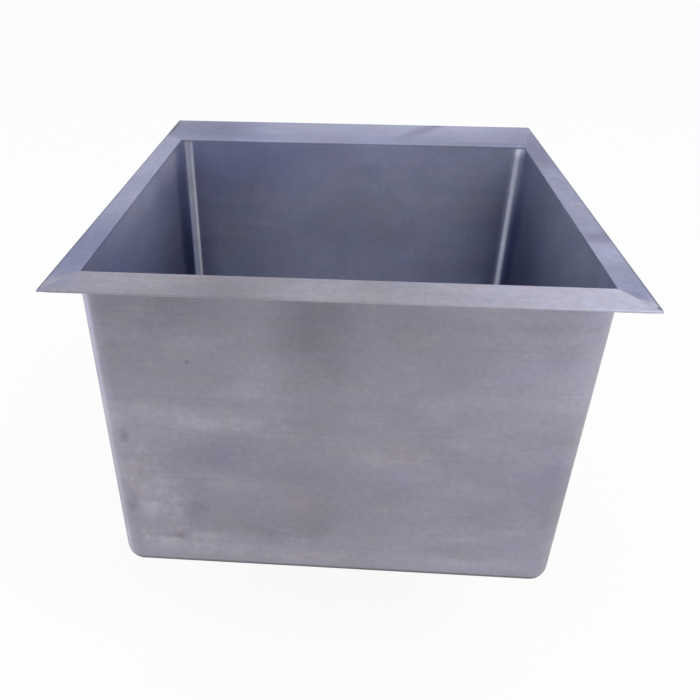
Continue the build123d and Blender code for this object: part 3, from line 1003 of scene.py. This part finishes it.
@dataclass
class Bowl(Part):
    """The walls and the floor pan, with the weld bead under the rim."""

    corner_radius: float = 20.6 * MM
    bead_radius: float = 2.2 * MM
    bead_inset: float = 0.3 * MM
    bead_step: float = 0.8 * MM
    bead_ripple: float = 0.18
    bead_ripple_pitch: float = 2.4 * MM
    bead_waves: tuple[Point, ...] = ((0.06, 61.0, 0.0), (0.05, 143.0, 1.3))
    bead_flatness: float = 0.16
    bead_sides: int = 6
    # Tone and painted light and shade on the outside front wall: its mottles, with lighter and darker zones
    # where the wall mirrors its surroundings.
    front_tone_and_light: tuple[Patch, ...] = (
        on_front(-25, -30, 60, 160, 0.72),
        on_front(-170, -20, 130, 90, 0.78),
        on_front(-174, -24, 22, 16, (1.16, 1.15, 1.12), 0.0, 0.8),
        on_front(50, -20, 90, 70, 0.90),
        on_front(235, -30, 60, 200, (1.26, 1.27, 1.27)),
        on_front(190, -80, 120, 200, (1.05, 1.06, 1.07)),
        on_front(190, -105, 50, 30, (1.08, 1.07, 1.05), 0.0, 0.6),
        on_front(190, -310, 140, 100, (1.07, 1.07, 1.08)),
        on_front(-138, -80.3, 2.8, 2.8, (0.68, 0.68, 0.72)),
        on_front(-120, -146, 130, 20, (1.25, 1.23, 1.18), 8.0, 0.55),
        on_front(-215, -140, 25, 30, (1.16, 1.15, 1.13), 0.0, 0.7),
        on_front(40, -175, 75, 35, (1.17, 1.15, 1.10), 6.0, 0.5),
        on_front(-110, -190, 100, 30, (0.86, 0.87, 0.91), 8.0, 0.3),
        on_front(30, -215, 120, 30, (0.91, 0.92, 0.95), 6.0, 0.3),
        on_front(-200, -200, 35, 70, (1.20, 1.19, 1.15), 0.0, 0.8),
        on_front(-186, -255, 50, 45, (1.38, 1.35, 1.29), 0.0, 0.8),
        on_front(-144, -250, 26, 45, (0.78, 0.78, 0.81), 0.0, 0.6),
        on_front(-210, -257, 14, 26, (0.78, 0.78, 0.81), 0.0, 0.5),
        on_front(-207, -169, 7, 12, (0.74, 0.74, 0.76), 0.0, 0.3),
        on_front(-170, -306, 75, 34, (1.34, 1.31, 1.25), 0.0, 0.8),
        on_front(-164, -302, 12, 8, (0.76, 0.76, 0.77), 0.0, 0.4),
        on_front(-60, -286, 100, 26, (0.84, 0.84, 0.83), 0.0, 0.4),
        on_front(-20, -250, 160, 70, (0.90, 0.89, 0.88)),
        on_front(-40, -325, 200, 20, (1.16, 1.15, 1.11), 0.0, 0.6),
        on_front(200, -200, 50, 50, (0.97, 0.98, 1.02)),
        on_front(190, -271, 45, 12, (1.14, 1.13, 1.11), -6.0, 0.6),
        on_front(133, -285, 35, 12, (1.13, 1.12, 1.09), 0.0, 0.6),
        on_front(137, -318, 55, 20, (1.12, 1.11, 1.08), 0.0, 0.5),
    )
    # Painted light and shade inside the bowl: lighter and darker zones on each wall.
    inside_light_and_shade: tuple[Patch, ...] = (
        on_rear(0, 10, 500, 100, (0.88, 0.90, 1.02)),
        on_rear(-160, 0, 200, 140, (0.69, 0.71, 0.86)),
        # Painted light: a lighter strip just under the rim's overhang, against its shade.
        on_rear(0, 3, 500, 8, (1.5, 1.5, 1.3)),
        on_rear(210, -200, 24, 180, (0.82, 0.82, 0.84)),
        on_rear(165, -220, 60, 140, (1.13, 1.12, 1.10)),
        on_rear(-205, -200, 30, 200, (0.74, 0.74, 0.78)),
        # Painted light: the left wall made lighter, partly matte.
        on_side(BOWL_LOW.x, -60, -50, 420, 460, (1.62, 1.68, 1.62), matte=0.17),
        on_side(BOWL_LOW.x, -140, -70, 80, 80, (0.80, 0.83, 0.97)),
        on_side(BOWL_LOW.x, 0, 4, 260, 50, (1.14, 1.10, 1.0), matte=0.42),
        on_side(BOWL_LOW.x, 135, 0, 80, 60, (1.14, 1.10, 1.0), matte=0.50),
        # Painted shade: a dark upright zone beside the rear-left cove.
        on_side(BOWL_LOW.x, 165, -200, 40, 260, (0.46, 0.52, 0.70)),
        on_side(BOWL_HIGH.x, -30, -100, 600, 600, (0.58, 0.62, 0.64)),
        on_side(BOWL_HIGH.x, -100, -20, 220, 200, (1.38, 1.40, 1.32), mottle=0.35, blotches=22.0),
        # Painted shade: dark near the rear-right cove.
        on_side(BOWL_HIGH.x, 130, -150, 220, 220, (0.33, 0.38, 0.52)),
        # Painted highlight: the bright tip at the top of the rear-right cove.
        Patch(
            (BOWL_HIGH.x - 10.0 * MM, BOWL_HIGH.y - 2.0 * MM, 2.0 * MM),
            (14.0 * MM, 14.0 * MM, 16.0 * MM),
            (1.8, 1.8, 1.7),
            matte=0.40,
        ),
    )
    # Painted light and shade on the rear coves: dark by the left wall and light with a bright line by the
    # rear wall in the rear-left cove, lighter at the top and darker lower by the right wall, and a bright
    # band in the rear-right cove.
    cove_light_and_shade_bands: tuple[Band, ...] = (
        Band(-20.0, 38.0, (0.55, 0.55, 0.65), (0.20, 0.21, 0.28), softness=0.15),
        Band(-72.0, 15.0, (1.38, 1.32, 1.12), (1.18, 1.15, 1.04), 0.30, 0.2),
        Band(-81.0, 5.0, (1.28, 1.26, 1.22), (1.60, 1.55, 1.40), 0.48, 0.6),
        Band(-165.0, 42.0, (1.2, 1.2, 1.25), (0.75, 0.80, 0.95), softness=0.3),
        Band(-114.0, 15.0, (1.55, 1.48, 1.36), (2.4, 2.32, 2.02), 0.97, 0.8),
    )
    # Painted highlights on the outside front corners, and painted shade round the lower bend.
    outside_light_and_shade_bands: tuple[Band, ...] = (
        Band(-133.0, 20.0, (1.60, 1.58, 1.62), (1.34, 1.34, 1.36), softness=0.9),
        Band(-130.0, 38.0, (1.24, 1.24, 1.28), 1.10),
        Band(-45.0, 45.0, (1.05, 1.05, 1.04), (1.08, 1.09, 1.05)),
        # Painted shade: a dark ring round the bowl's lower bend.
        Band(0.0, 24.0, (0.13, 0.13, 0.14), (0.13, 0.13, 0.14), 0.9, 0.7, rise=-90.0, off=57.0),
    )

    def build(self) -> None:
        """Dresses walls and floor and adds the bead."""
        sheet = BowlSheet(
            "bowl_sheet",
            slot="bowl_steel",
            # Painted light: the inside gets a lighter colour than the outside's, for the same steel.
            colour=(0.52, 0.535, 0.645),
            outside=(0.300, 0.288, 0.350),
            roughness=0.42,
            anisotropy=0.5,
            centre=tuple((BOWL_LOW + BOWL_HIGH) / 2),
            patches=self.front_tone_and_light,
            inside_light_and_shade_patches=self.inside_light_and_shade,
            cove_light_and_shade_bands=self.cove_light_and_shade_bands,
            outside_light_and_shade_bands=self.outside_light_and_shade_bands,
        )
        self.dress(sheet, "bowl_walls", "bowl_floor")
        weld = PlainMetal("weld_bead", "bowl_steel", (0.36, 0.35, 0.38), 0.35, speck=0.12)
        self.settle(self.bead("rim_weld"), weld)

    def outline(self) -> list[tuple[Vector, Vector]]:
        """Follows the walls' outside round the bowl, at the rim.

        Returns:
            Points a step apart, each with its outward direction.
        """
        r, z = self.corner_radius, BOWL_HIGH.z
        left, right, front, rear = BOWL_LOW.x + r, BOWL_HIGH.x - r, BOWL_LOW.y + r, BOWL_HIGH.y - r
        corners = [Vector((x, y, z)) for x, y in ((right, rear), (left, rear), (left, front), (right, front))]
        turns = math.ceil(r * math.pi / 2 / self.bead_step)
        points = []
        for i, corner in enumerate(corners):
            outs = [outward(90.0 * (i + k / turns)) for k in range(turns + 1)]
            points += [(corner + out * r, out) for out in outs]
            begin, end = points[-1][0], corners[(i + 1) % 4] + outs[-1] * r
            steps = math.ceil((end - begin).length / self.bead_step)
            points += [(begin.lerp(end, k / steps), outs[-1]) for k in range(1, steps)]
        return points

    def bead(self, name: str) -> Piece:
        """Makes the rippled fillet weld between the walls and the rim's underside.

        Args:
            name: the piece's name.

        Returns:
            The weld.
        """
        outline = self.outline()
        inset, last_side = self.bead_inset, self.bead_sides - 1
        vertices = []
        travelled = 0.0
        last = outline[-1][0]
        for point, out in outline:
            travelled += (point - last).length
            last = point
            phase = travelled / self.bead_ripple_pitch % 1.0
            waves = (high * math.sin(travelled * rate + start) for high, rate, start in self.bead_waves)
            size = self.bead_radius * (1.0 + sum(waves) + self.bead_ripple * (phase - 0.5))
            corner = point - out * inset + Vector((0.0, 0.0, inset))
            vertices.append(tuple(corner))
            for k in range(self.bead_sides):
                angle = math.radians(90.0 * k / last_side)
                bulge = size * (1.0 - self.bead_flatness * math.sin(2.0 * angle))
                aside = out * (bulge * math.cos(angle) + inset * (k != last_side))
                down = Vector((0.0, 0.0, bulge * math.sin(angle) + inset * (k != 0)))
                vertices.append(tuple(corner + aside - down))
        return make_piece(name, vertices, ring_faces(len(outline), self.bead_sides + 1))


@dataclass
class Clamps(Part):
    """The studs under the rim, with their claws, washers and nuts."""

    radius: float = 2.5 * MM
    chamfer: float = 0.6 * MM
    plain_length: float = 1.0 * MM
    thread_pitch: float = 0.8 * MM
    thread_depth: float = 0.45 * MM
    thread_steps: int = 5
    ring_height: float = 1.2 * MM
    ring_shoulder: float = 0.5 * MM
    ring_radii: Point = (3.4 * MM, 3.6 * MM, 3.5 * MM)
    sides: int = 18
    sharp_bend: float = 35.0

    def build(self) -> None:
        """Threads the studs and dresses the rest."""
        zinc = PlainMetal("zinc_plate", "zinc_steel", (0.62, 0.64, 0.66), 0.32, tarnish=(0.50, 0.50, 0.47))
        nodes = sorted(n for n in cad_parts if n.startswith("clamp_") and n != "clamp_studs")
        self.dress(zinc, *nodes)
        places = [sum(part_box(n), Vector()) / 2 for n in nodes if n.startswith("clamp_nut_")]
        self.settle(self.studs("threaded_studs", places), zinc, "clamp_studs")

    def depth(self, z: float, angle: float, low: float, high: float) -> float:
        """Finds how far a stud's surface lies below the thread's crest.

        Args:
            z: the level.
            angle: the angle round the stud.
            low: the thread's lower end.
            high: its upper end.

        Returns:
            The depth there, which runs out at both ends.
        """
        turn = (z / self.thread_pitch - angle / (2.0 * math.pi)) % 1.0
        runout = min(1.0, (z - low) / self.thread_pitch, (high - z) / self.thread_pitch)
        return self.thread_depth * max(0.0, runout) * (1.0 - abs(2.0 * turn - 1.0))

    def studs(self, name: str, places: Sequence[Vector]) -> Piece:
        """Makes all the threaded studs with their weld rings, as one mesh.

        Args:
            name: the piece's name.
            places: where they stand.

        Returns:
            The studs.
        """
        bottom, top = (corner.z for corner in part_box("clamp_studs"))
        base = top - self.ring_height
        low, high = bottom + self.chamfer, base - self.plain_length
        count = round((high - low) / self.thread_pitch * self.thread_steps)
        ring = zip(self.ring_radii, (base, base + self.ring_shoulder, top))
        profile = [(0.0, bottom), (self.radius - self.chamfer, bottom)]
        profile += [(self.radius, low + (high - low) * i / count) for i in range(count + 1)]
        profile += [(self.radius, base), *ring, (0.0, top)]
        vertices, faces = [], []
        for place in places:
            faces += ring_faces(self.sides, len(profile), len(vertices))
            for angle in (2.0 * math.pi * j / self.sides for j in range(self.sides)):
                for r, z in profile:
                    if r == self.radius and z <= high:
                        r -= self.depth(z, angle, low, high)
                    vertices.append((place.x + r * math.cos(angle), place.y + r * math.sin(angle), z))
        rods = make_piece(name, vertices, faces)
        rods.data.set_sharp_from_angle(angle=math.radians(self.sharp_bend))
        return rods


def drain_axis() -> Section:
    """Returns where the drain's upright axis stands."""
    middle = sum(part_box("strainer_body"), Vector()) / 2
    return (middle.x, middle.y)


@dataclass
class Drain(Part):
    """The strainer in the floor's recess, its rings and the tailpiece below."""

    def build(self) -> None:
        """Dresses every piece of the drain."""
        axis = drain_axis()
        polished = PlainMetal("polished_steel", "drain_steel", (0.52, 0.53, 0.56), 0.2, speck=0.1, axis=axis)
        rubber = SoftPart("black_rubber", "black_rubber", (0.035, 0.035, 0.038), 0.6)
        fibre = SoftPart("pressed_fibre", "fibre", (0.42, 0.30, 0.18), 0.85, speck=0.25)
        brass = PlainMetal("cast_brass", "cast_brass", (0.62, 0.46, 0.22), 0.42, tarnish=(0.42, 0.31, 0.17))
        chrome = PlainMetal("chrome_plate", "chrome", (0.45, 0.46, 0.48), 0.1, speck=0.05, axis=axis)
        nylon = SoftPart("white_nylon", "white_plastic", (0.78, 0.78, 0.75), 0.45, speck=0.04)
        self.dress(polished, "strainer_body")
        self.dress(rubber, "flange_seal", "drain_gasket")
        self.dress(fibre, "friction_washer")
        self.dress(brass, "drain_locknut", "outlet_spud")
        self.dress(chrome, "tailpiece", "coupling_nut")
        self.dress(nylon, "tailpiece_washer")


@dataclass
class Basket(Part):
    """The lift-out basket with its post, knob and stopper."""

    def build(self) -> None:
        """Dresses every piece of the basket."""
        axis = drain_axis()
        polished = PlainMetal("basket_steel", "drain_steel", (0.50, 0.51, 0.54), 0.22, speck=0.1, axis=axis)
        chrome = PlainMetal("knob_chrome", "chrome", (0.60, 0.61, 0.63), 0.1, speck=0.04, axis=axis)
        rubber = SoftPart("stopper_rubber", "black_rubber", (0.03, 0.03, 0.032), 0.55)
        self.dress(polished, "basket_cup", "post_sleeve")
        self.dress(chrome, "basket_post", "basket_knob")
        self.dress(rubber, "basket_stopper")


# Studio


@dataclass(frozen=True)
class Lamp:
    """One large soft lamp."""

    name: str
    place: Point
    target: Point
    size: float
    power: float


@dataclass
class Studio:
    """The floor, the soft light and the camera at the photograph's viewing angle."""

    image_width: float = 700.0
    principal_column: float = 306.1
    focal_pixels: float = 709.7
    sensor: float = 36.0
    camera_place: Point = (0.0041, -0.7606, 0.2693)
    yaw: float = -3.776
    pitch: float = 32.200
    roll: float = -0.208
    floor_half: float = 8.0
    floor_white: float = 0.92
    floor_glow: float = 0.9
    sky: Colour = (0.80, 0.82, 0.86)
    lamps: tuple[Lamp, ...] = (
        Lamp("key", (1.4, -1.2, 2.2), (0.0, 0.0, -0.1), 1.6, 22.0),
        Lamp("fill", (-1.8, -1.4, 1.2), (0.0, 0.0, -0.2), 1.6, 8.0),
    )

    def build(self) -> None:
        """Sets the studio up."""
        self.add_floor()
        self.add_world()
        for lamp in self.lamps:
            self.add_lamp(lamp)
        self.add_camera()
        bpy.context.scene.view_settings.view_transform = "Standard"

    def bare_tree(self, owner: bpy.types.Material | bpy.types.World) -> Tree:
        """Empties a node tree.

        Args:
            owner: the material or the world that it belongs to.

        Returns:
            The empty tree.
        """
        owner.use_nodes = True
        owner.node_tree.nodes.clear()
        return Tree(owner.node_tree)

    def background_ray(self, tree: Tree) -> Output:
        """Tells apart the rays that meet a plain white background.

        Args:
            tree: the tree that it is added to.

        Returns:
            1 for camera, glossy and transmission rays, and 0 for the rest.
        """
        rays = tree.add("LightPath").outputs
        seen = tree.math("MAXIMUM", rays["Is Camera Ray"], rays["Is Glossy Ray"])
        return tree.math("MAXIMUM", seen, rays["Is Transmission Ray"])

    def add_floor(self) -> None:
        """Adds the pale floor, which shows the object's shadow and can be looked through from below."""
        half, z = self.floor_half, cad_box[0].z
        corners = [(-half, -half, z), (half, -half, z), (half, half, z), (-half, half, z)]
        floor = make_piece("floor", corners, [(0, 1, 2, 3)], smooth=False)
        material = bpy.data.materials.new("pale_floor")
        tree = self.bare_tree(material)
        paper = tree.add("BsdfDiffuse", {"Color": self.floor_white}).outputs[0]
        glow = tree.add("Emission", {"Color": WHITE, "Strength": 1.0}).outputs[0]
        share = tree.math("MULTIPLY", self.background_ray(tree), self.floor_glow)
        lit = tree.add("MixShader", {0: share, 1: paper, 2: glow}).outputs[0]
        clear = tree.add("BsdfTransparent").outputs[0]
        both = tree.add("MixShader", {0: tree.normal("Backfacing"), 1: lit, 2: clear}).outputs[0]
        tree.add("OutputMaterial", {"Surface": both})
        floor.data.materials.append(material)

    def add_world(self) -> None:
        """Adds the soft sky, which is plain white where it is seen or mirrored."""
        world = bpy.data.worlds.new("soft_sky")
        bpy.context.scene.world = world
        tree = self.bare_tree(world)
        light = tree.add("Background", {"Color": self.sky, "Strength": 1.0}).outputs[0]
        seen = tree.add("Background", {"Color": WHITE, "Strength": 1.0}).outputs[0]
        both = tree.add("MixShader", {0: self.background_ray(tree), 1: light, 2: seen}).outputs[0]
        tree.add("OutputWorld", {"Surface": both})

    def add_lamp(self, lamp: Lamp) -> None:
        """Adds one lamp, turned to its target.

        Args:
            lamp: the lamp.
        """
        data = bpy.data.lights.new(lamp.name, "AREA")
        data.shape = "DISK"
        data.size = lamp.size
        data.energy = lamp.power
        light = bpy.data.objects.new(lamp.name, data)
        light.location = lamp.place
        aim = Vector(lamp.target) - Vector(lamp.place)
        light.rotation_euler = aim.to_track_quat("-Z", "Y").to_euler()
        bpy.context.scene.collection.objects.link(light)

    def add_camera(self) -> None:
        """Adds the camera, placed by the lines of the rim and the bowl in the photograph."""
        data = bpy.data.cameras.new("camera")
        data.sensor_width = self.sensor
        data.lens = self.focal_pixels / self.image_width * self.sensor
        data.shift_x = (self.image_width / 2 - self.principal_column) / self.image_width
        data.clip_start, data.clip_end = 0.01, 50.0
        camera = bpy.data.objects.new("camera", data)
        yaw, pitch, roll = (math.radians(a) for a in (self.yaw, self.pitch, self.roll))
        forward = Vector((math.sin(yaw) * math.cos(pitch), math.cos(yaw) * math.cos(pitch), -math.sin(pitch)))
        level = Vector((math.cos(yaw), -math.sin(yaw), 0.0))
        down = forward.cross(level)
        right = level * math.cos(roll) + down * math.sin(roll)
        up = level * math.sin(roll) - down * math.cos(roll)
        axes = Matrix((right, up, -forward)).transposed()
        camera.matrix_world = Matrix.Translation(self.camera_place) @ axes.to_4x4()
        bpy.context.scene.collection.objects.link(camera)
        bpy.context.scene.camera = camera


def main() -> None:
    """Builds the sub-assemblies in order, reports each and sets the studio round them."""
    logging.basicConfig(level=logging.INFO, format="%(name)s: %(message)s")
    for part in (Rim(), Bowl(), Clamps(), Drain(), Basket()):
        part.build()
        log.info("%s: %s", type(part).__name__, ", ".join(part.made))
    Studio().build()


if __name__ == "__main__":
    main()
